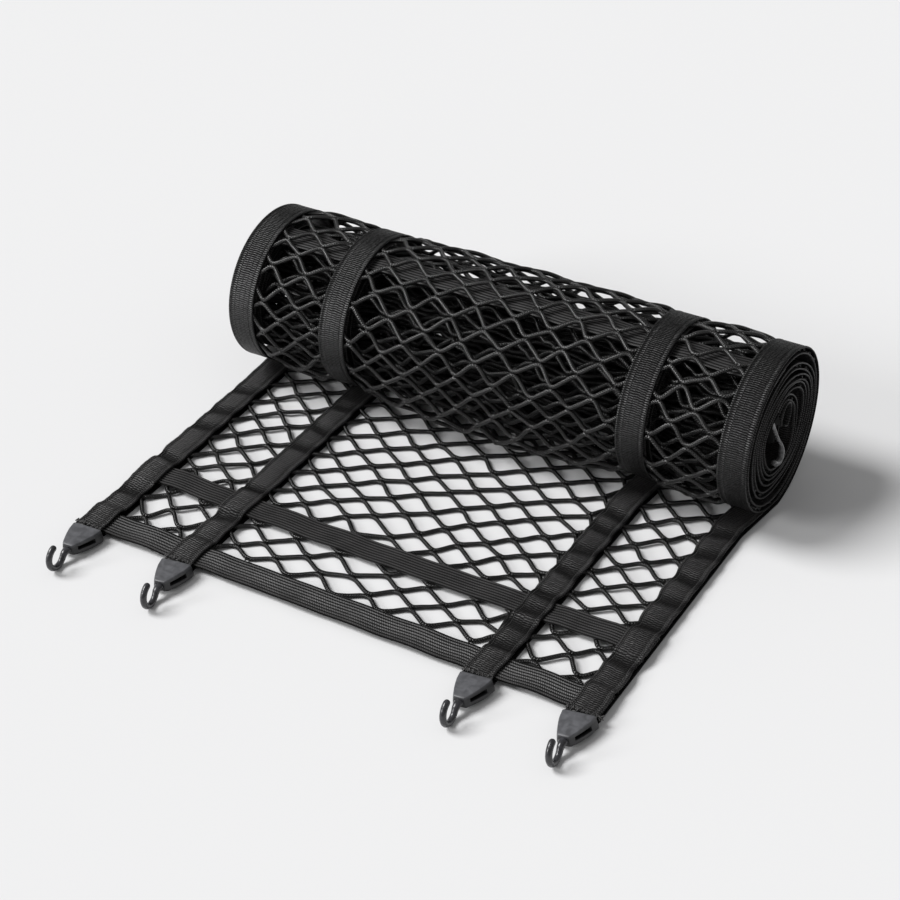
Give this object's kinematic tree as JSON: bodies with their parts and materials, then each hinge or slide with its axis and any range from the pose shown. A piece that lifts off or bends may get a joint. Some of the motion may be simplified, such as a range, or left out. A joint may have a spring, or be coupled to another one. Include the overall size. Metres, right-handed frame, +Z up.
{
  "type": "cargo net",
  "caption": "Rolled elastic cargo net with webbing straps, ribbed cross bands and a bent wire hook on each strap end, its front end laid out flat.",
  "frame": {"origin": "Under the middle of the part's outline, on the surface that it lies on.", "axes": "+X along the roll and the cross bands, from the left strap to the right one; +Y from the hooked front edge towards the roll; +Z up."},
  "size_m": [0.5014, 0.4468, 0.1454],
  "materials": {
    "net_cord": "black braided elastic cord",
    "webbing": "black woven webbing",
    "ribbed_elastic": "black ribbed elastic",
    "hook_body_plastic": "satin moulded",
    "hook_wire_gloss": "gloss coated wire",
    "far_hook_plastic": "satin moulded"
  },
  "bodies": {
    "root": {"net_loose_end": "net_cord", "net_roll": "net_cord", "strap_back_1": "webbing", "strap_back_2": "webbing", "strap_back_3": "webbing", "strap_back_4": "webbing", "strap_face_1": "webbing", "strap_face_2": "webbing", "strap_face_3": "webbing", "strap_face_4": "webbing", "band_front": "ribbed_elastic", "band_second": "ribbed_elastic", "band_third": "ribbed_elastic", "hook_body_1": "hook_body_plastic", "hook_body_2": "hook_body_plastic", "hook_body_3": "hook_body_plastic", "hook_body_4": "hook_body_plastic", "hook_wire_1": "hook_wire_gloss", "hook_wire_2": "hook_wire_gloss", "hook_wire_3": "hook_wire_gloss", "hook_wire_4": "hook_wire_gloss", "hook_body_far_1": "far_hook_plastic", "hook_body_far_2": "far_hook_plastic", "hook_body_far_3": "far_hook_plastic", "hook_body_far_4": "far_hook_plastic", "hook_wire_far_1": "far_hook_plastic", "hook_wire_far_2": "far_hook_plastic", "hook_wire_far_3": "far_hook_plastic", "hook_wire_far_4": "far_hook_plastic"}
  },
  "joints": []
}
